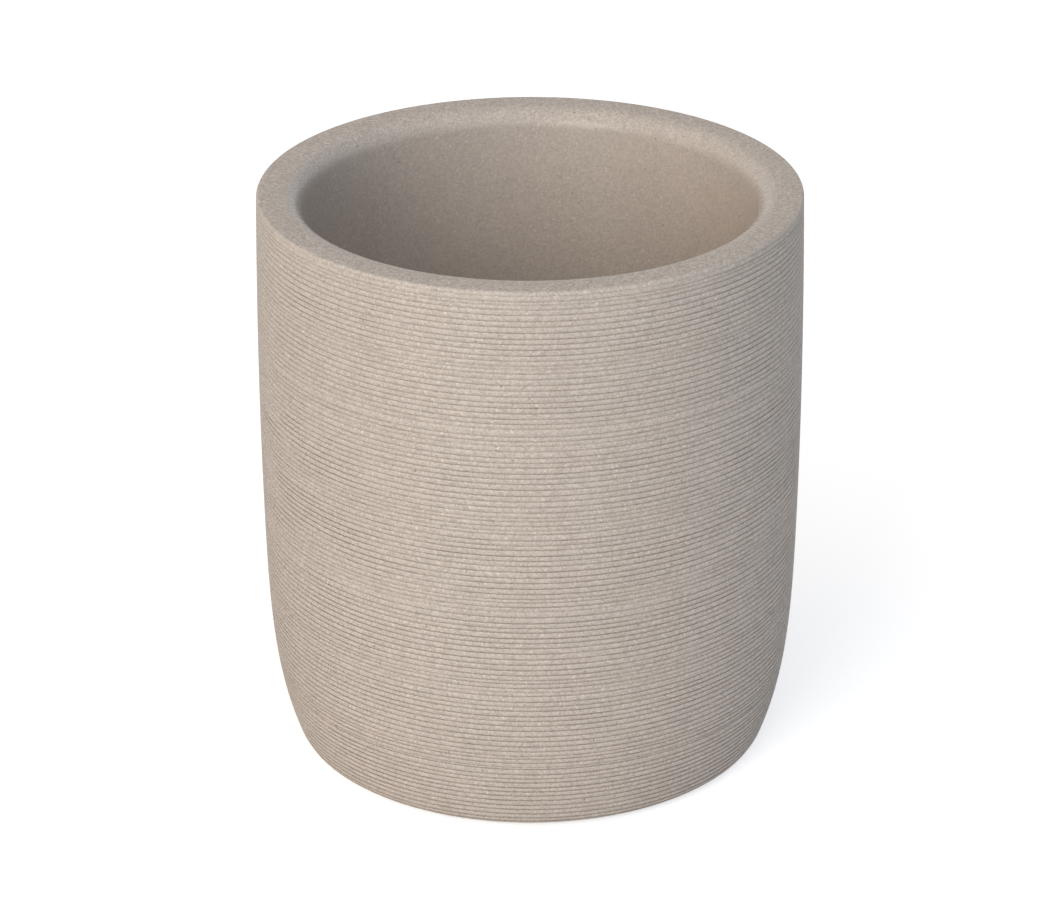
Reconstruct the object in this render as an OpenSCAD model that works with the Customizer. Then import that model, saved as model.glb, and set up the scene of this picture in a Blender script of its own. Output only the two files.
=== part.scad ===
// Bathroom tumbler: a cup cast in one piece from sand-filled resin.
// Fine grooves run round it from rim to base, and a foam disc is stuck in the recess underneath.
// The origin is the centre of the face that the tumbler stands on, and +Z runs up its axis.

/* [Body] */
// Height of the cup, from its underside to its rim
body_h = 90.5; // [75:0.5:120]
// Diameter at the widest place, the belly
belly_d = 84.1; // [78:0.1:100]
// Height of the belly above the cup's underside
belly_z = 59; // [45:0.5:72]
// How far the wall leans in from the belly up to the rim, on the radius
rim_draw = 0.4; // [0:0.1:2]
// How far the barrel shape leans in from the belly down to the underside, on the radius
base_draw = 1.7; // [0:0.1:3]
// How far the foot curve takes the underside in beyond that, on the radius
foot_draw = 3.7; // [0:0.1:6]
// Height at which the foot curve starts to turn in
foot_curve_h = 41; // [30:0.5:60]
// How late the foot curve turns: a higher power keeps the wall straight for longer
foot_power = 4.2; // [2:0.1:8]
// Height of the rounded corner between the wall and the underside
base_corner_h = 2.1; // [1.8:0.1:4]

/* [Rim and bowl] */
// Thickness of the wall just under the rim
wall_t = 6.9; // [5:0.1:9]
// Radius of the rim's outer edge
rim_outer_round = 0.5; // [0.3:0.1:1.5]
// Radius of the rim's inner edge: the flat land on top takes what the two rounds leave of the wall
rim_inner_round = 3.1; // [1:0.1:3.4]
// Thickness of the floor
floor_t = 7; // [4:0.5:14]
// How far the bowl narrows from the rim to the floor, on the radius, so that it leaves its core
bowl_taper = 0.8; // [0.2:0.1:3]
// Radius between the bowl's wall and its floor
bowl_floor_round = 6; // [2:0.5:12]

/* [Grooves] */
// Mean distance from one groove to the next
groove_spacing = 0.85; // [0.75:0.01:2.5]
// Width of a groove at its mouth
groove_w = 0.32; // [0.15:0.01:0.36]
// Depth of a groove where a tooth cuts in full
groove_depth = 0.29; // [0.1:0.01:0.4]
// Height of the lowest groove above the underside
groove_first_z = 1.2; // [1.2:0.1:12]
// Height at which the narrow comb takes over from the wide one
narrow_comb_z = 69.1; // [60:0.1:72]
// Least distance from the rim down to the topmost groove
groove_rim_gap = 0.7; // [0.7:0.1:12]
// Height under the rim's outer edge over which the grooves fade out
groove_fade_h = 0.5; // [0.3:0.1:5]

/* [Anti-slip pad] */
// Width of the cup's bare ring outside the recess, which the base corner starts from
foot_ring_w = 4.2; // [2:0.1:14]
// Thickness of the foam disc
pad_t = 1.5; // [1.2:0.1:2.5]
// Bevel that the cutting die leaves round the foam's lower edge
pad_bevel = 0.2; // [0.1:0.05:0.5]
// Gap all round the foam disc in its recess
pad_gap = 0.3; // [0.1:0.05:0.6]
// Thickness of the adhesive film that holds the disc
film_t = 0.2; // [0.1:0.05:0.3]
// How far the film stays back from the foam's edge
film_margin = 0.5; // [0.2:0.1:2]
// Depth of the recess in the underside: what it doesn't take stands proud
recess_h = 1.2; // [0.6:0.1:1.2]

/* [Hidden] */
$fn = 120;
// The wide comb combs the wall from below. Each share is the distance from one tooth to the next
wide_gap_shares = [
    0.85, 0.90, 0.70, 0.95, 1.05, 1.10, 1.05, 1.15,
    1.10, 1.00, 0.95, 1.15, 0.90, 0.95, 1.20
];
// How deep each of its teeth cuts
wide_depth_shares = [
    0.70, 0.95, 0.85, 0.85, 0.95, 1.00, 1.00, 1.02,
    1.04, 1.00, 0.97, 1.09, 1.00, 0.91, 0.98, 0.90
];
// The first tooth that cuts: those before it would pass below the base
wide_first_tooth = 3;
// Distance from the last groove of one pass to the first of the next, pass by pass
pass_gap_shares = [0.50, 0.78, 1.13, 0.72, 1.04];
// The narrow comb's distances, the last of which is the step to its next pass, and its depths
narrow_gap_shares = [0.90, 0.96, 1.06, 1.00, 0.96, 1.12, 1.12, 1.00, 1.12, 1.00, 0.81, 0.65];
narrow_depth_shares = [0.74, 0.88, 0.98, 1.00, 0.98, 0.98, 0.96, 0.93, 0.96, 0.90, 0.85, 0.65];
// What is left of the depth of a groove that lies on the rim's outer edge
fade_share = 0.15;
// Power of the barrel shape: a plain bow above and below the belly
bow_power = 2;
// Share of a groove's mouth that its flat bottom takes
groove_bottom_share = 0.4;
// Short rise over which the wall's lean is measured
lean_step = 0.02;
// Straight lines that make up each rounded edge
round_lines = 8;

// Height above a level, or zero below it
function above(z, level) = max(0, z - level);

// Radius of the outer wall at a height, before its two ends are rounded
function wall_r(z) = belly_d / 2
    - rim_draw * pow(above(z, belly_z) / (body_h - belly_z), bow_power)
    - base_draw * pow(above(belly_z, z) / belly_z, bow_power)
    - foot_draw * pow(above(foot_curve_h, z) / foot_curve_h, foot_power);

// Angle by which the wall leans out as it rises, at a height
function lean(z) = atan((wall_r(z + lean_step) - wall_r(z)) / lean_step);

// The base corner's radius is the one that meets the underside and the leaning wall without a kink
base_lean = lean(base_corner_h);
base_round = base_corner_h / (1 - sin(base_lean));
base_centre_r = wall_r(base_corner_h) - base_round * cos(base_lean);

// The bowl's radius is what the wall leaves of the rim's
rim_r = wall_r(body_h - rim_outer_round);
rim_centre_r = rim_r - rim_outer_round;
bowl_r = rim_r - wall_t;

// The recess leaves the bare ring round it, and the foam fills it but for the gap
recess_r = base_centre_r - foot_ring_w;
pad_r = recess_r - pad_gap;
stand_z = pad_t + film_t - recess_h;

// Half the width of a round of a given radius, at a distance along it from its centre
function half_chord(radius, off) = sqrt(max(0, radius * radius - off * off));

// Radius of the outside at any height, with both ends rounded
function outer_r(z) = z < base_corner_h
    ? base_centre_r + half_chord(base_round, base_round - z)
    : z > body_h - rim_outer_round
        ? rim_centre_r + half_chord(rim_outer_round, z - body_h + rim_outer_round)
        : wall_r(z);

// Points of an arc about a centre, from one angle to another
function arc(centre, radius, from, to) = [
    for (i = [0 : round_lines])
        let (a = from + (to - from) * i / round_lines)
            centre + radius * [cos(a), sin(a)]
];

// Distance from the wide comb's groove number n to the next, with each pass counted in full
wide_teeth = len(wide_depth_shares);
function wide_gap(n) = groove_spacing * (
    n % wide_teeth < wide_teeth - 1
        ? wide_gap_shares[n % wide_teeth]
        : pass_gap_shares[floor(n / wide_teeth) % len(pass_gap_shares)]
);

// Each groove's height and its share of the full depth: first the wide comb's, then the narrow one's
wide_top_z = min(narrow_comb_z - groove_spacing, body_h - groove_rim_gap);
wide_grooves = [
    for (n = wide_first_tooth, z = groove_first_z; z <= wide_top_z; z = z + wide_gap(n), n = n + 1)
        [z, wide_depth_shares[n % wide_teeth]]
];
narrow_teeth = len(narrow_depth_shares);
narrow_grooves = [
    for (
        n = 0, z = narrow_comb_z;
        z <= body_h - groove_rim_gap;
        z = z + groove_spacing * narrow_gap_shares[n % narrow_teeth], n = n + 1
    )
        [z, narrow_depth_shares[n % narrow_teeth]]
];
grooves = concat(wide_grooves, narrow_grooves);

// Share of the full depth that a groove at a height has, near the rim
function fade(z) = let (below_edge = above(body_h - rim_outer_round, z))
    max(fade_share, min(1, below_edge / groove_fade_h));

// The four corners of one groove, from its lower lip to its upper lip
function groove_corners(groove) = let (
    z = groove[0],
    lip = groove_w / 2,
    flat = groove_bottom_share * lip,
    bottom_r = outer_r(z) - groove_depth * groove[1] * fade(z)
) [
    [outer_r(z - lip), z - lip],
    [bottom_r, z - flat],
    [bottom_r, z + flat],
    [outer_r(z + lip), z + lip]
];

// The base corner below the lowest groove, and the rim's outer edge above the topmost one
low_lip_z = grooves[0][0] - groove_w / 2;
high_lip_z = grooves[len(grooves) - 1][0] + groove_w / 2;
base_corner = [
    for (p = arc([base_centre_r, base_round], base_round, -90, -base_lean))
        if (p.y < low_lip_z) p
];
rim_corner = [
    for (p = arc([rim_centre_r, body_h - rim_outer_round], rim_outer_round, 0, 90))
        if (p.y > high_lip_z) p
];

// Half of the cup's section, from the recess, up the grooved outside and down the bowl
function cup_outline() = concat(
    [[0, recess_h], [recess_r, recess_h], [recess_r, 0]],
    base_corner,
    [for (groove = grooves) each groove_corners(groove)],
    rim_corner,
    arc([bowl_r + rim_inner_round, body_h - rim_inner_round], rim_inner_round, 90, 180),
    arc([bowl_r - bowl_taper - bowl_floor_round, floor_t + bowl_floor_round],
        bowl_floor_round, 0, -90),
    [[0, floor_t]]
);

// Cup, cast in one piece, with the recess for the pad in its underside
module cup_body() {
    color("#c6b9ab")
        translate([0, 0, stand_z])
            rotate_extrude()
                polygon(cup_outline());
}

// Double-sided film between the recess and the foam
module pad_adhesive() {
    color("#e8e2cf")
        translate([0, 0, pad_t])
            cylinder(r = pad_r - film_margin, h = film_t);
}

// Foam disc that the tumbler stands on
module foot_pad() {
    color("#3a3936")
        rotate_extrude()
            polygon([
                [0, 0],
                [pad_r - pad_bevel, 0],
                [pad_r, pad_bevel],
                [pad_r, pad_t],
                [0, pad_t]
            ]);
}

cup_body();
pad_adhesive();
foot_pad();
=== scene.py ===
# %% [markdown]
# A bathroom tumbler, cast in resin that is filled with fine sand.
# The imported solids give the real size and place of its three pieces: the cup, the foam disc
# under it, and the film that holds the disc. This lesson keeps to those sizes and adds what
# the eye looks for: grooves cut finely round the wall, soft edges, and three finishes.

# %% Load the solids
import math
import bpy
from mathutils import Matrix, Vector


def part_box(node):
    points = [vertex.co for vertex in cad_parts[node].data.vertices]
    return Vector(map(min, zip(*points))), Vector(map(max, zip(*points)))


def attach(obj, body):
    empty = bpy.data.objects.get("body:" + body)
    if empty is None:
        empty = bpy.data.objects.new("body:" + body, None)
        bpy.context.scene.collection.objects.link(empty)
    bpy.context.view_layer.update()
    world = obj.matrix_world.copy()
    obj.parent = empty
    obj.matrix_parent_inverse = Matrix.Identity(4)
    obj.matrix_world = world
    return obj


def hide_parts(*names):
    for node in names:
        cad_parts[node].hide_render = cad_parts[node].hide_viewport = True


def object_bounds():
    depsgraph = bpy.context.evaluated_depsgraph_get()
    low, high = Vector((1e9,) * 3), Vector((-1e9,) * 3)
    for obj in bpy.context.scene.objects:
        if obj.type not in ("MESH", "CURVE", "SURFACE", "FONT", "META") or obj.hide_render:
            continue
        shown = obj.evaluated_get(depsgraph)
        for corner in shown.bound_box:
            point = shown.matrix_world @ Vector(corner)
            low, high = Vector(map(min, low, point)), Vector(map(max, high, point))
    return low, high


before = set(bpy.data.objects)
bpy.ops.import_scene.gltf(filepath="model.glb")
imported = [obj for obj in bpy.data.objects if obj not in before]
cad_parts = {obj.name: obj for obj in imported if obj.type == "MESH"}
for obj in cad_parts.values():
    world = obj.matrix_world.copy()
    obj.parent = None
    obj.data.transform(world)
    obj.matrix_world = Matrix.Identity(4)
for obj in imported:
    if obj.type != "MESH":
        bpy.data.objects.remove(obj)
cad_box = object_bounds()
print("solids:", sorted(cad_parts))
print("box:", [tuple(round(c, 4) for c in corner) for corner in cad_box])

# %% [markdown]
# Every size below is a real one in millimetres, and Blender works in metres here. One factor
# turns the first into the second, so a reader can check each number with a ruler.

# %% Units
MM = 0.001
print("a metre is", round(1 / MM), "mm")

# %% [markdown]
# The camera stands where the photograph was taken from: about two thirds of a metre away,
# looking down a little into the bowl. A long lens that far off keeps the sides nearly parallel.
# The angle was found from how much each groove bows on its way round the front.

# %% Camera
IMAGE_WIDE = 1051
LENS_PIXELS = 4160
CAMERA_DOWN = math.radians(24.5)
CAMERA_ROLL = math.radians(-0.17)
CAMERA_AWAY = 651 * MM
AIM_LEFT = 0.8 * MM
AIM_HIGH = 47.25 * MM

camera_data = bpy.data.cameras.new("camera")
camera_data.sensor_fit = "HORIZONTAL"
camera_data.lens = camera_data.sensor_width * LENS_PIXELS / IMAGE_WIDE
camera = bpy.data.objects.new("camera", camera_data)
bpy.context.scene.collection.objects.link(camera)
camera.location = (
    -AIM_LEFT,
    -CAMERA_AWAY * math.cos(CAMERA_DOWN),
    AIM_HIGH + CAMERA_AWAY * math.sin(CAMERA_DOWN),
)
tilt = Matrix.Rotation(math.pi / 2 - CAMERA_DOWN, 3, "X")
roll = Matrix.Rotation(CAMERA_ROLL, 3, "Z")
camera.rotation_euler = (tilt @ roll).to_euler()
bpy.context.scene.camera = camera
bpy.context.scene.view_settings.view_transform = "Standard"
print("lens:", round(camera_data.lens, 1), "mm")

# %% [markdown]
# Colours are picked as hex values, the way a screen shows them, but a renderer adds light in
# linear values. One function does the conversion for every colour in the file.


# %% Colours from hex values
def linear(hex_colour):
    """The four linear values of an sRGB colour such as "#c6b9ab"."""
    values = []
    for i in (1, 3, 5):
        share = int(hex_colour[i:i + 2], 16) / 255
        low = share / 12.92
        high = ((share + 0.055) / 1.055) ** 2.4
        values.append(low if share <= 0.04045 else high)
    return (*values, 1)


print("mid grey is", round(linear("#808080")[0], 3), "in linear light")

# %% [markdown]
# A material is a small graph of nodes. One function adds any node, sets what is typed on it,
# and links what comes from another node, so each finish below reads as a short list. A node
# that is passed as a value stands for its first output, which is the one that is mostly wanted.


# %% Adding a node
def add_node(tree, kind, *values, **named):
    """Adds a node. Unnamed values fill the inputs that are in use, in their order. A name in
    small letters is one of the node's own settings, and one with a capital is an input."""
    node = tree.nodes.new("ShaderNode" + kind)
    for name, value in named.items():
        if name.islower():
            setattr(node, name, value)
    inputs = list(zip([socket for socket in node.inputs if socket.enabled], values))
    for name, value in named.items():
        if not name.islower():
            inputs.append((node.inputs[name.replace("_", " ")], value))
    for socket, value in inputs:
        if isinstance(value, bpy.types.Node):
            value = next(output for output in value.outputs if output.enabled)
        if isinstance(value, bpy.types.NodeSocket):
            tree.links.new(value, socket)
        else:
            socket.default_value = value
    return node


# %% [markdown]
# The light is a plain studio. A cool sweep stands all round and is brightest along the horizon,
# and two large windows fill in: a cool one in front and high up, and a warm one on the left.
# They could be lamps, but a soft lobe of the world has no edge that shows in the shading.
# What looks straight at the studio, or sees it in a reflection, sees plain white.

# %% World
SWEEP = ("#cce6ff", 0.82)
SWEEP_POWER = 4
WINDOWS = ((0, 50, "#e5f0ff", 1), (60, 40, "#ffdfb1", 0.7))
WINDOW_POWER = 3


def toward(left, up):
    """The direction that lies so many degrees left of the camera's side, and so many up."""
    left, up = math.radians(left), math.radians(up)
    return Vector((-math.sin(left) * math.cos(up), -math.cos(left) * math.cos(up), math.sin(up)))


world = bpy.data.worlds.new("studio")
bpy.context.scene.world = world
world.use_nodes = True
tree = world.node_tree
tree.nodes.clear()
direction = add_node(tree, "TexCoord").outputs["Generated"]
height = add_node(tree, "SeparateXYZ", direction).outputs["Z"]
from_top = add_node(tree, "Math", 1, height, operation="SUBTRACT")
from_top = add_node(tree, "Math", from_top, 1, operation="MINIMUM")
lights = [(SWEEP, add_node(tree, "Math", from_top, SWEEP_POWER, operation="POWER"))]
for left, up, colour, power in WINDOWS:
    facing = add_node(tree, "VectorMath", direction, toward(left, up), operation="DOT_PRODUCT")
    facing = add_node(tree, "Math", facing, 0, operation="MAXIMUM")
    lobe = add_node(tree, "Math", facing, WINDOW_POWER, operation="POWER")
    lights.append(((colour, power), lobe))
print(len(lights), "soft lights all round")

# %% Add the lights up, and show plain white behind them
around = add_node(tree, "Background", Strength=0)
for (colour, power), shape in lights:
    strength = add_node(tree, "Math", shape, power, operation="MULTIPLY")
    light = add_node(tree, "Background", Color=linear(colour), Strength=strength)
    around = add_node(tree, "AddShader", around, light)
white = add_node(tree, "Background", Color=linear("#ffffff"), Strength=1)
rays = add_node(tree, "LightPath").outputs
sharp = add_node(tree, "Math", rays["Is Glossy Ray"], rays["Is Transmission Ray"], operation="MAXIMUM")
seen = add_node(tree, "Math", rays["Is Camera Ray"], sharp, operation="MAXIMUM")
shown = add_node(tree, "MixShader", seen, around, white)
add_node(tree, "OutputWorld", Surface=shown)
print("the world has", len(tree.nodes), "nodes")

# %% [markdown]
# The main light is a soft box in front on the left, a little lower than the camera. It shapes
# the cup: bright on its left, and falling off steadily towards the right. A small cool one on
# the right is too weak to do that. It is there for the sheen that it puts on the far lip of the
# bowl.

# %% Soft boxes
BOX_AWAY = 1500 * MM
SOFT_BOXES = {
    "soft_box_main": (28, 20, 750 * MM, "#fff9f2", 7.5),
    "soft_box_sheen": (-65, 56, 250 * MM, "#dce8ff", 0.6),
}

middle = (cad_box[0] + cad_box[1]) / 2
for name, (left, up, size, colour, watts) in SOFT_BOXES.items():
    light = bpy.data.lights.new(name, "AREA")
    light.shape = "SQUARE"
    light.size = size
    light.energy = watts
    light.color = linear(colour)[:3]
    box = bpy.data.objects.new(name, light)
    bpy.context.scene.collection.objects.link(box)
    box.location = middle + toward(left, up) * BOX_AWAY
    box.rotation_euler = toward(left, up).to_track_quat("Z", "Y").to_euler()
    print(name, "at", [round(c, 2) for c in box.location])

# %% [markdown]
# The tumbler stands on a pale floor. Seen by the camera the floor glows faintly as well, which
# brings it up to white, and what the tumbler's own shadow takes away is still missing from it.
# Its material starts as an empty graph, and so does each finish further down.

# %% Floor
FLOOR_HALF = 3
FLOOR_COLOUR = "#fbfbfb"
FLOOR_GLOW = 0.6


def new_material(name):
    """A material with an empty node tree, and that tree."""
    material = bpy.data.materials.new(name)
    material.use_nodes = True
    material.node_tree.nodes.clear()
    return material, material.node_tree


bpy.ops.mesh.primitive_plane_add(size=2 * FLOOR_HALF, location=(0, 0, 0))
floor = bpy.context.object
floor.name = "floor"
floor_material, tree = new_material("pale_floor")
paper = add_node(tree, "BsdfDiffuse", Color=linear(FLOOR_COLOUR))
glow = add_node(tree, "Emission", Color=linear("#ffffff"), Strength=FLOOR_GLOW)
both = add_node(tree, "AddShader", paper, glow)
seen = add_node(tree, "LightPath").outputs["Is Camera Ray"]
shown = add_node(tree, "MixShader", seen, paper, both)
add_node(tree, "OutputMaterial", Surface=shown)
floor.data.materials.append(floor_material)
print("floor is", 2 * FLOOR_HALF, "m wide")

# %% [markdown]
# The cup is round, so it is modelled the way a potter's rib or a lathe would make it: half of
# its section is drawn once, then spun about the axis. A cylinder with rings cut into it would
# do as well, but this wall has more than a hundred rings, and in a section each one is only a
# few points. The section comes from a few sizes. The wall bows out slightly to a belly, and
# below the middle a foot curve turns in towards the base.

# %% Sizes of the cup
cup_low, cup_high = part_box("cup_body")
STAND_Z = cup_low.z
BODY_H = cup_high.z - cup_low.z
BELLY_R = 42.05 * MM
BELLY_Z = 59 * MM
RIM_DRAW = 0.4 * MM
BASE_DRAW = 1.7 * MM
FOOT_DRAW = 3.7 * MM
FOOT_CURVE_H = 41 * MM
FOOT_POWER = 4.2
BASE_CORNER_H = 2.1 * MM
print("cup is", round(BODY_H / MM, 2), "mm high and stands", round(STAND_Z / MM, 2), "mm clear")


# %% The wall's radius at a height
def wall_r(z):
    """Radius of the outer wall at a height above the cup's underside."""
    up = max(0, z - BELLY_Z) / (BODY_H - BELLY_Z)
    down = max(0, BELLY_Z - z) / BELLY_Z
    foot = max(0, FOOT_CURVE_H - z) / FOOT_CURVE_H
    return BELLY_R - RIM_DRAW * up ** 2 - BASE_DRAW * down ** 2 - FOOT_DRAW * foot ** FOOT_POWER


print("radius at the rim", round(wall_r(BODY_H) / MM, 2), "and at the base", round(wall_r(0) / MM, 2))

# %% [markdown]
# The corner under the foot is a round that meets the wall without a kink, so it has to end at
# the angle that the wall has there. That lean is measured over a very short step of height.

# %% The round under the foot
LEAN_STEP = 0.02 * MM
base_lean = math.atan((wall_r(BASE_CORNER_H + LEAN_STEP) - wall_r(BASE_CORNER_H)) / LEAN_STEP)
base_round = BASE_CORNER_H / (1 - math.sin(base_lean))
base_centre_r = wall_r(BASE_CORNER_H) - base_round * math.cos(base_lean)
print("the wall leans out by", round(math.degrees(base_lean), 1), "degrees at its foot")

# %% [markdown]
# The rim has three parts: a small round outside, a flat land, and a wider round that leads into
# the bowl. The bowl narrows a little towards its floor, because a cast piece has to leave its
# core.

# %% Sizes of the rim and the bowl
WALL_T = 6.9 * MM
RIM_OUTER_ROUND = 0.5 * MM
RIM_INNER_ROUND = 3.1 * MM
FLOOR_T = 7 * MM
BOWL_TAPER = 0.8 * MM
BOWL_FLOOR_ROUND = 6 * MM
rim_r = wall_r(BODY_H - RIM_OUTER_ROUND)
rim_centre_r = rim_r - RIM_OUTER_ROUND
bowl_r = rim_r - WALL_T
print("bowl is", round(2 * bowl_r / MM, 1), "mm across at the rim")


# %% The outside's radius with both ends rounded
def outer_r(z):
    """Radius of the outside at a height above the underside, before the grooves are cut."""
    if z < BASE_CORNER_H:
        return base_centre_r + math.sqrt(max(0, base_round ** 2 - (base_round - z) ** 2))
    over = z - (BODY_H - RIM_OUTER_ROUND)
    if over > 0:
        return rim_centre_r + math.sqrt(max(0, RIM_OUTER_ROUND ** 2 - over ** 2))
    return wall_r(z)


print("the flat of the rim starts", round(outer_r(BODY_H) / MM, 2), "mm from the axis")

# %% [markdown]
# The grooves are what makes this tumbler. They are level rings, 0.85 mm apart on average, but
# neither their spacing nor their depth is even. Up to three quarters of the height both repeat
# every sixteen rings, as if a wide comb with worn teeth had been set down again and again, and
# above that a narrower comb with twelve teeth finishes the wall. So the two combs are what is
# modelled, and their marks follow from them. A bump in the material would be less work, but it
# would leave the cup's outline smooth, and a groove would throw no shadow into itself.

# %% The two combs
GROOVE_SPACING = 0.85 * MM
GROOVE_DEPTH = 0.29 * MM
GROOVE_FIRST_Z = 1.2 * MM
NARROW_COMB_Z = 69.1 * MM
GROOVE_RIM_GAP = 0.7 * MM
WIDE_GAPS = (0.85, 0.90, 0.70, 0.95, 1.05, 1.10, 1.05, 1.15,
             1.10, 1.00, 0.95, 1.15, 0.90, 0.95, 1.20)
WIDE_DEPTHS = (0.70, 0.95, 0.85, 0.85, 0.95, 1.00, 1.00, 1.02,
               1.04, 1.00, 0.97, 1.09, 1.00, 0.91, 0.98, 0.90)
WIDE_FIRST_TOOTH = 3
PASS_GAPS = (0.50, 0.78, 1.13, 0.72, 1.04)
NARROW_GAPS = (0.90, 0.96, 1.06, 1.00, 0.96, 1.12, 1.12, 1.00, 1.12, 1.00, 0.81, 0.65)
NARROW_DEPTHS = (0.74, 0.88, 0.98, 1.00, 0.98, 0.98, 0.96, 0.93, 0.96, 0.90, 0.85, 0.65)


def comb(first_z, last_z, gaps, depths, first_tooth, pass_gaps):
    """The grooves of a comb that is set down again and again, as (height, share of the depth)."""
    marks = []
    n = first_tooth
    z = first_z
    while z <= last_z:
        comb_pass, tooth = divmod(n, len(depths))
        marks.append((z, depths[tooth]))
        gap = gaps[tooth] if tooth < len(gaps) else pass_gaps[comb_pass % len(pass_gaps)]
        z += GROOVE_SPACING * gap
        n += 1
    return marks


wide = comb(GROOVE_FIRST_Z, NARROW_COMB_Z - GROOVE_SPACING,
            WIDE_GAPS, WIDE_DEPTHS, WIDE_FIRST_TOOTH, PASS_GAPS)
narrow = comb(NARROW_COMB_Z, BODY_H - GROOVE_RIM_GAP, NARROW_GAPS, NARROW_DEPTHS, 0, ())
print(len(wide), "grooves from the wide comb and", len(narrow), "from the narrow one")

# %% [markdown]
# Just under the rim the comb runs out of the wall, so the last marks fade.

# %% How deep each groove is
GROOVE_FADE_H = 0.5 * MM
LEAST_FADE = 0.15
grooves = []
for z, share in wide + narrow:
    fade = max(LEAST_FADE, min(1, (BODY_H - RIM_OUTER_ROUND - z) / GROOVE_FADE_H))
    grooves.append((z, GROOVE_DEPTH * share * fade))
print("the last groove is", round((BODY_H - grooves[-1][0]) / MM, 2), "mm below the rim")

# %% [markdown]
# Each groove takes six points of the section: a broken edge, a steep side, a flat bottom, and
# the same again going up. Each land between two grooves has one more point in its middle, and
# its lips lie a hair lower than that. Edge and crown are what catches the light, so a land looks
# like a soft line and not like a flat strip.

# %% One groove
GROOVE_W = 0.32 * MM
GROOVE_EDGE = 0.045 * MM
GROOVE_BOTTOM_SHARE = 0.4
LAND_CROWN = 0.02 * MM


def groove_points(z, depth):
    """Points of one groove, from its lower lip to its upper lip."""
    lip = GROOVE_W / 2
    flat = GROOVE_BOTTOM_SHARE * lip
    edge = min(GROOVE_EDGE, depth / 2)
    return [
        (outer_r(z - lip) - LAND_CROWN, z - lip),
        (outer_r(z) - edge, z - lip + edge),
        (outer_r(z) - depth, z - flat),
        (outer_r(z) - depth, z + flat),
        (outer_r(z) - edge, z + lip - edge),
        (outer_r(z + lip) - LAND_CROWN, z + lip),
    ]


print("a groove is", round(GROOVE_W / MM, 2), "mm wide and drawn with",
      len(groove_points(BELLY_Z, GROOVE_DEPTH)), "points")

# %% [markdown]
# The section starts on the axis, in the recess that holds the foam and its film. It runs out over
# the bare ring of the foot, up the wall groove by groove, over the rim, and down the bowl to its
# floor. Its rounds are arcs, and an arc gives way where a groove starts.

# %% Half of the cup's section
FOOT_RING_W = 4.2 * MM
RIM_LINES = 8
BOWL_LINES = 12


def arc(centre_r, centre_z, radius, first, last, lines):
    """Points of a round, as (radius, height), from one angle to another in degrees."""
    points = []
    for i in range(lines + 1):
        angle = math.radians(first + (last - first) * i / lines)
        points.append((centre_r + radius * math.cos(angle), centre_z + radius * math.sin(angle)))
    return points


film_low, film_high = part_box("pad_adhesive")
recess_h = film_high.z - STAND_Z
recess_r = base_centre_r - FOOT_RING_W
section = [(0, recess_h), (recess_r, recess_h), (recess_r, 0)]
low_lip = grooves[0][0] - GROOVE_W / 2
high_lip = grooves[-1][0] + GROOVE_W / 2
corner = arc(base_centre_r, base_round, base_round, -90, -math.degrees(base_lean), RIM_LINES)
section += [p for p in corner if p[1] < low_lip]
for i, (z, depth) in enumerate(grooves):
    section += groove_points(z, depth)
    if i + 1 < len(grooves):
        between = (z + grooves[i + 1][0]) / 2
        section.append((outer_r(between), between))
corner = arc(rim_centre_r, BODY_H - RIM_OUTER_ROUND, RIM_OUTER_ROUND, 0, 90, RIM_LINES)
section += [p for p in corner if p[1] > high_lip]
lip_centre_r = bowl_r + RIM_INNER_ROUND
section += arc(lip_centre_r, BODY_H - RIM_INNER_ROUND, RIM_INNER_ROUND, 90, 180, RIM_LINES)
floor_centre_r = bowl_r - BOWL_TAPER - BOWL_FLOOR_ROUND
section += arc(floor_centre_r, FLOOR_T + BOWL_FLOOR_ROUND, BOWL_FLOOR_ROUND, 0, -90, BOWL_LINES)
section.append((0, FLOOR_T))
print("the section has", len(section), "points")

# %% [markdown]
# To draw the section, a plane is collapsed to a single point, and that point is extruded along
# the outline, one edge at a time. Spinning the line gives the cup. Its seam and its two poles
# are closed by merging, and its faces are then all turned outwards.

# %% Spin a section into a solid
MERGE = 0.002 * MM


def turned(name, points, around):
    """A closed solid turned about the Z axis from its half section of (radius, height) points."""
    bpy.ops.object.select_all(action="DESELECT")
    first_r, first_z = points[0]
    bpy.ops.mesh.primitive_plane_add(size=MERGE, location=(0, 0, 0))
    piece = bpy.context.object
    piece.name = name
    piece.data.name = name
    bpy.ops.object.mode_set(mode="EDIT")
    bpy.ops.mesh.merge(type="CENTER")
    bpy.ops.transform.translate(value=(first_r, 0, first_z))
    for (r0, z0), (r1, z1) in zip(points, points[1:]):
        bpy.ops.mesh.extrude_region_move(TRANSFORM_OT_translate={"value": (r1 - r0, 0, z1 - z0)})
    bpy.ops.mesh.select_all(action="SELECT")
    bpy.ops.mesh.spin(steps=around, angle=2 * math.pi, center=(0, 0, 0), axis=(0, 0, 1))
    bpy.ops.mesh.select_all(action="SELECT")
    bpy.ops.mesh.remove_doubles(threshold=MERGE)
    bpy.ops.mesh.normals_make_consistent(inside=False)
    bpy.ops.object.mode_set(mode="OBJECT")
    return piece


print("points closer than", round(MERGE / MM, 3), "mm are merged")

# %% The cup
CUP_AROUND = 120
cup = turned("cup_cast_resin", [(r, z + STAND_Z) for r, z in section], CUP_AROUND)
print("cup has", len(cup.data.polygons), "faces")

# %% [markdown]
# A comb that is pressed into a grainy casting doesn't cut evenly, and a spun section is too
# perfect for that. So each point of the mesh is told how far down a groove it lies, from 0 on a
# land to 1 at the bottom of a full cut, and the material reads that number too. Then a slow
# cloud pushes the bottoms in and out a little, and every groove grows fainter and stronger on
# its way round.

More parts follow.
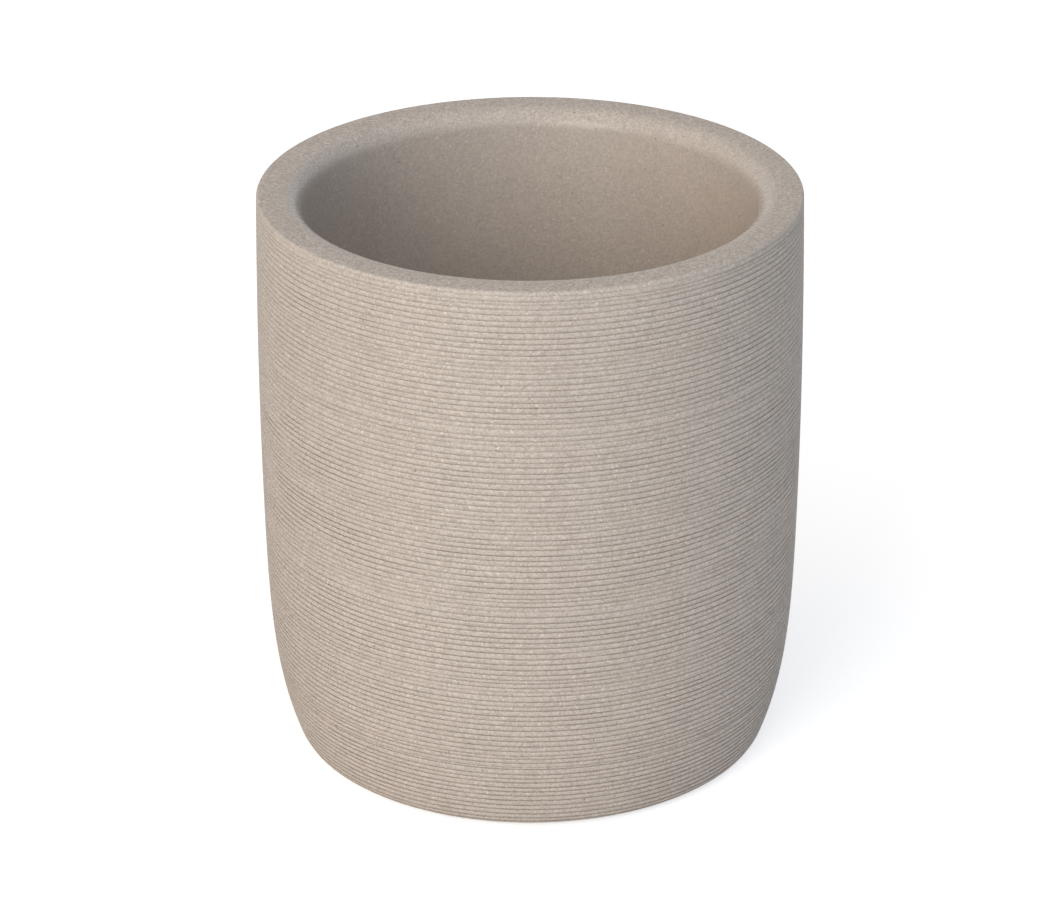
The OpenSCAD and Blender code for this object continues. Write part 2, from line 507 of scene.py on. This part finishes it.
# %% Where the grooves are
CUT_NAME = "cut"
LEAST_CUT = 0.3
shares = []
for vertex in cup.data.vertices:
    z = vertex.co.z - STAND_Z
    radius = math.hypot(vertex.co.x, vertex.co.y)
    outside = low_lip <= z <= high_lip and radius > outer_r(z) - WALL_T / 2
    shares.append(max(0, outer_r(z) - radius) / GROOVE_DEPTH if outside else 0)
cup.data.attributes.new(CUT_NAME, "FLOAT", "POINT").data.foreach_set("value", shares)
bottoms = cup.vertex_groups.new(name="groove_bottoms")
for i, share in enumerate(shares):
    if share > LEAST_CUT:
        bottoms.add([i], min(1, share), "REPLACE")
print("deepest cut:", round(max(shares), 2), "of the full depth")

# %% Let their depth wander
WANDER_SIZE = 5 * MM
WANDER = 0.12 * MM
drift = bpy.data.textures.new("groove_drift", "CLOUDS")
drift.noise_scale = WANDER_SIZE
bpy.ops.object.select_all(action="DESELECT")
cup.select_set(True)
bpy.context.view_layer.objects.active = cup
bpy.ops.object.modifier_add(type="DISPLACE")
wander = cup.modifiers[-1]
wander.texture = drift
wander.texture_coords = "LOCAL"
wander.vertex_group = bottoms.name
wander.strength = WANDER
bpy.ops.object.modifier_apply(modifier=wander.name)
print("groove bottoms wander by up to", round(WANDER / 2 / MM, 2), "mm")

# %% Smooth its curves and keep its edges
SHARP_FROM = 50
bpy.ops.object.shade_smooth_by_angle(angle=math.radians(SHARP_FROM))
print("edges stay sharp from", SHARP_FROM, "degrees")

# %% [markdown]
# The cup's material is polyester resin with fine sand in it, cast in a mould and left matt. Sand
# that is modelled would take millions of faces, so the grains are a pattern in the material: each
# cell of a Voronoi texture is one of them. Its random colour gives three numbers. Red sets the
# grain's tone, green the kind of grain it is, and blue how warm and how rough it is. Nearly all
# are of the plain kind. A few are cream, and very few are dark or left a pit.

# %% Sand-filled resin: the grains
GRAIN_SIZE = 0.3 * MM
GROUND = "#c8bdb2"
PIT = "#958c83"
DARK_GRAIN = "#b3a89e"
CREAM_GRAIN = "#d8ccc0"
DARK_FROM = 0.0005
GROUND_FROM = 0.004
CREAM_FROM = 0.975

resin, tree = new_material("sand_filled_polyester_resin_cast")
where = add_node(tree, "TexCoord").outputs["Object"]
cells = add_node(tree, "TexVoronoi", Vector=where, Scale=1 / GRAIN_SIZE).outputs
chance = add_node(tree, "SeparateColor", cells["Color"]).outputs
kinds = ((0, PIT), (DARK_FROM, DARK_GRAIN), (GROUND_FROM, GROUND), (CREAM_FROM, CREAM_GRAIN))
# A ramp is looked up at 256 places only, and square roots make room there for the rare kinds
kind = add_node(tree, "Math", chance["Green"], operation="SQRT")
grain_colour = add_node(tree, "ValToRGB", kind)
steps = grain_colour.color_ramp
steps.interpolation = "CONSTANT"
while len(steps.elements) < len(kinds):
    steps.elements.new(1)
for step, (start, colour) in zip(steps.elements, kinds):
    step.position = math.sqrt(start)
    step.color = linear(colour)
print("sand grains", round(GRAIN_SIZE / MM, 2), "mm wide, of", len(kinds), "kinds")

# %% [markdown]
# Inside the bowl a smooth core shaped the resin, so a thin skin of it veils the sand. The rim's
# land and the ring under the foot were ground flat, which cuts through the grains and shows them
# more, and the comb's teeth smoothed the grooves. So the contrast between grains depends on the
# place. Each Map Range node gets a measure, the two values of it between which the contrast
# changes, and the contrast at either.

# %% Where the sand shows more or less
BOWL_CONTRAST = 0.65
LAND_CONTRAST = 1.5
GROUND_CONTRAST = 2.2
CUT_CONTRAST = -0.4
BOWL_SOFT = 1.2 * MM
FLAT_SOFT = 0.2 * MM

place = add_node(tree, "SeparateXYZ", where).outputs
x_squared = add_node(tree, "Math", place["X"], 2, operation="POWER")
y_squared = add_node(tree, "Math", place["Y"], 2, operation="POWER")
across = add_node(tree, "Math", x_squared, y_squared, operation="ADD")
across = add_node(tree, "Math", across, operation="SQRT")
in_bowl = add_node(tree, "MapRange", across, bowl_r + BOWL_SOFT, bowl_r, 1, BOWL_CONTRAST)
on_foot = add_node(tree, "MapRange", place["Z"], STAND_Z + FLAT_SOFT, STAND_Z, 1, GROUND_CONTRAST)
on_land = add_node(tree, "MapRange", place["Z"], cup_high.z - FLAT_SOFT, cup_high.z, 1, LAND_CONTRAST)
in_groove = add_node(tree, "Attribute", attribute_name=CUT_NAME).outputs["Fac"]
flat = add_node(tree, "Math", on_foot, on_land, operation="MULTIPLY")
round_wall = add_node(tree, "Math", in_groove, CUT_CONTRAST, in_bowl, operation="MULTIPLY_ADD")
contrast = add_node(tree, "Math", flat, round_wall, operation="MULTIPLY")
print("the bowl shows", BOWL_CONTRAST, "of the sand, and the rim's land", LAND_CONTRAST)

# %% [markdown]
# The resin itself is never quite even. A slow cloud makes it a little lighter or darker, a quick
# one clumps its grains, and the finest one is the dust between them. Another cloud is painted
# shade in the grooves: it makes them lighter in some places and darker in others, so that their
# shade grows fainter and stronger on the way round.

# %% How light each grain is
TONE = 0.15
CLOUD_SIZE = 7 * MM
CLOUD_TONE = 0.05
CLUMP_SIZE = 0.9 * MM
CLUMP_TONE = 0.06
DUST_SIZE = 0.2 * MM
DUST_TONE = 0.3
# painted shade in the grooves, in lumps of this size and this strength
GROOVE_SHADE_SIZE = 2.2 * MM
GROOVE_SHADE_TONE = 0.12
NOISE_DETAIL = 2


def about_zero(tree, share, spread):
    """Turns a random share from 0 to 1 into a value from -spread to spread."""
    share = add_node(tree, "Math", share, 0.5, operation="SUBTRACT")
    return add_node(tree, "Math", share, 2 * spread, operation="MULTIPLY")


def cloud(tree, where, size, spread):
    """A soft random value about zero, in lumps of a given size."""
    noise = add_node(tree, "TexNoise", Vector=where, Scale=1 / size, Detail=NOISE_DETAIL)
    return about_zero(tree, noise, spread)


slow = cloud(tree, where, CLOUD_SIZE, CLOUD_TONE)
clumps = cloud(tree, where, CLUMP_SIZE, CLUMP_TONE)
dust = cloud(tree, where, DUST_SIZE, DUST_TONE)
# painted shade: a cloud that lightens and darkens the grooves, weighted by how deep each point is cut
groove_shade = cloud(tree, where, GROOVE_SHADE_SIZE, GROOVE_SHADE_TONE)
quick = add_node(tree, "Math", clumps, dust, operation="ADD")
uneven = add_node(tree, "Math", quick, in_bowl, slow, operation="MULTIPLY_ADD")
uneven = add_node(tree, "Math", groove_shade, in_groove, uneven, operation="MULTIPLY_ADD")
tone = about_zero(tree, chance["Red"], TONE)
tone = add_node(tree, "Math", tone, contrast, uneven, operation="MULTIPLY_ADD")
lightness = add_node(tree, "Math", 1, tone, operation="ADD")
print("on the wall a grain is up to", round(100 * TONE), "percent lighter or darker")

# %% [markdown]
# A last cloud makes the whole a percent warmer or cooler: more red and less blue, or the other
# way about. The colour of the grains is then veiled, lightened and tinted in turn.

# %% The resin's colour
HUE_SIZE = 4 * MM
HUE_DRIFT = 0.01
WARMTH = 0.002

drift_warmth = cloud(tree, where, HUE_SIZE, HUE_DRIFT)
grain_warmth = about_zero(tree, chance["Blue"], WARMTH)
warmth = add_node(tree, "Math", drift_warmth, grain_warmth, operation="ADD")
red = add_node(tree, "Math", 1, warmth, operation="ADD")
blue = add_node(tree, "Math", 1, warmth, operation="SUBTRACT")
tint = add_node(tree, "CombineXYZ", red, 1, blue)
veiled = add_node(tree, "Mix", contrast, linear(GROUND), grain_colour, data_type="RGBA")
toned = add_node(tree, "VectorMath", veiled, lightness, operation="SCALE")
coloured = add_node(tree, "VectorMath", toned, tint, operation="MULTIPLY")
print("the resin drifts by up to", round(100 * HUE_DRIFT), "percent in warmth")

# %% [markdown]
# The surface is matt but not dead: every grain is a low dome under the skin of resin, and a
# hundredth of a millimetre is enough for the light to find it. That is far too low to model, so
# it is a bump. The round that leads into the bowl was rubbed down, which left it a little less
# rough.

# %% The resin's surface
GRAIN_DOME = 0.014 * MM
FINE_SIZE = 0.16 * MM
FINE_SHARE = 0.5
ROUGHNESS = 0.5
ROUGHNESS_SPREAD = 0.2
LIP_POLISH = 0.2

fine = add_node(tree, "TexNoise", Vector=where, Scale=1 / FINE_SIZE, Detail=NOISE_DETAIL)
domes = add_node(tree, "Math", 1, cells["Distance"], operation="SUBTRACT")
relief = add_node(tree, "Math", fine, FINE_SHARE, domes, operation="MULTIPLY_ADD")
bumps = add_node(tree, "Bump", Strength=1, Distance=GRAIN_DOME, Height=relief)
lip_half_r = bowl_r + RIM_INNER_ROUND / 2
inside = add_node(tree, "MapRange", across, lip_centre_r, lip_half_r, 0, LIP_POLISH)
lip_low_z = cup_high.z - RIM_INNER_ROUND
high = add_node(tree, "MapRange", place["Z"], lip_low_z, lip_low_z + RIM_INNER_ROUND / 2, 0, 1)
polish = add_node(tree, "Math", inside, high, operation="MULTIPLY")
least_rough = ROUGHNESS - ROUGHNESS_SPREAD / 2
rough = add_node(tree, "Math", chance["Blue"], ROUGHNESS_SPREAD, least_rough, operation="MULTIPLY_ADD")
rough = add_node(tree, "Math", rough, polish, operation="SUBTRACT")
shader = add_node(tree, "BsdfPrincipled", Base_Color=coloured, Roughness=rough, Normal=bumps)
add_node(tree, "OutputMaterial", Surface=shader)
print("resin has", len(tree.nodes), "nodes")

# %% The cup stands for its solid
cup.data.materials.append(resin)
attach(cup, "root")
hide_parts("cup_body")
print(cup.name, "is finished in", resin.name)

# %% [markdown]
# Under the cup a foam disc sits in the recess, so that a hard casting neither slides on glass nor
# scratches it. The die that cut it left its lower edge slightly rounded. The disc is turned from
# half a section like the cup, because that edge is then only a few more points.

# %% Foam pad
PAD_EDGE = 0.2 * MM
PAD_LINES = 4
PAD_AROUND = 96
pad_low, pad_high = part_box("foot_pad")
pad_r = pad_high.x
pad_section = [(0, pad_low.z)]
pad_section += arc(pad_r - PAD_EDGE, pad_low.z + PAD_EDGE, PAD_EDGE, -90, 0, PAD_LINES)
pad_section += [(pad_r, pad_high.z), (0, pad_high.z)]
pad = turned("foot_pad_foam", pad_section, PAD_AROUND)
bpy.ops.object.shade_smooth_by_angle(angle=math.radians(SHARP_FROM))
print("pad is", round(2 * pad_r / MM, 1), "mm across")
print("pad is", round((pad_high.z - pad_low.z) / MM, 2), "mm thick")

# %% [markdown]
# EVA foam is dark, dull and full of tiny closed cells. The cut face shows them as shallow pits,
# and some cells hold a little more light than others. A Voronoi texture draws both: its distance
# gives the pits, and its random colour the tone of each cell.

# %% EVA foam
FOAM = "#3a3936"
FOAM_CELL = 0.4 * MM
FOAM_PIT = 0.05 * MM
FOAM_TONE = 0.15
FOAM_ROUGHNESS = 0.92

foam, tree = new_material("eva_foam_closed_cell")
where = add_node(tree, "TexCoord").outputs["Object"]
cells = add_node(tree, "TexVoronoi", Vector=where, Scale=1 / FOAM_CELL).outputs
light = add_node(tree, "SeparateColor", cells["Color"]).outputs["Red"]
tone = add_node(tree, "Math", light, 2 * FOAM_TONE, 1 - FOAM_TONE, operation="MULTIPLY_ADD")
dark = add_node(tree, "VectorMath", linear(FOAM)[:3], tone, operation="SCALE")
pits = add_node(tree, "Bump", Strength=1, Distance=FOAM_PIT, Height=cells["Distance"])
shader = add_node(tree, "BsdfPrincipled", Base_Color=dark, Roughness=FOAM_ROUGHNESS, Normal=pits)
add_node(tree, "OutputMaterial", Surface=shader)
pad.data.materials.append(foam)
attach(pad, "root")
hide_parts("foot_pad")
print("foam cells", round(FOAM_CELL / MM, 2), "mm wide")

# %% [markdown]
# The film between foam and casting is only seen as a pale line in the gap round the pad, so a
# plain disc is enough. It is a clear acrylic adhesive on a thin carrier, milky and slightly
# glossy, with faint clouds of trapped air.

# %% Adhesive film
FILM = "#e8e2cf"
FILM_CLOUD = 1.5 * MM
FILM_DETAIL = 3
FILM_TONE = 0.06
FILM_ROUGHNESS = 0.35

film_r = film_high.x
film_section = [(0, film_low.z), (film_r, film_low.z), (film_r, film_high.z), (0, film_high.z)]
film = turned("adhesive_film_disc", film_section, PAD_AROUND)
acrylic, tree = new_material("acrylic_adhesive_film")
where = add_node(tree, "TexCoord").outputs["Object"]
air = add_node(tree, "TexNoise", Vector=where, Scale=1 / FILM_CLOUD, Detail=FILM_DETAIL)
tone = add_node(tree, "Math", air, 2 * FILM_TONE, 1 - FILM_TONE, operation="MULTIPLY_ADD")
pale = add_node(tree, "VectorMath", linear(FILM)[:3], tone, operation="SCALE")
shader = add_node(tree, "BsdfPrincipled", Base_Color=pale, Roughness=FILM_ROUGHNESS)
add_node(tree, "OutputMaterial", Surface=shader)
film.data.materials.append(acrylic)
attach(film, "root")
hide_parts("pad_adhesive")
print("film is", round((film_high.z - film_low.z) / MM, 2), "mm thick")
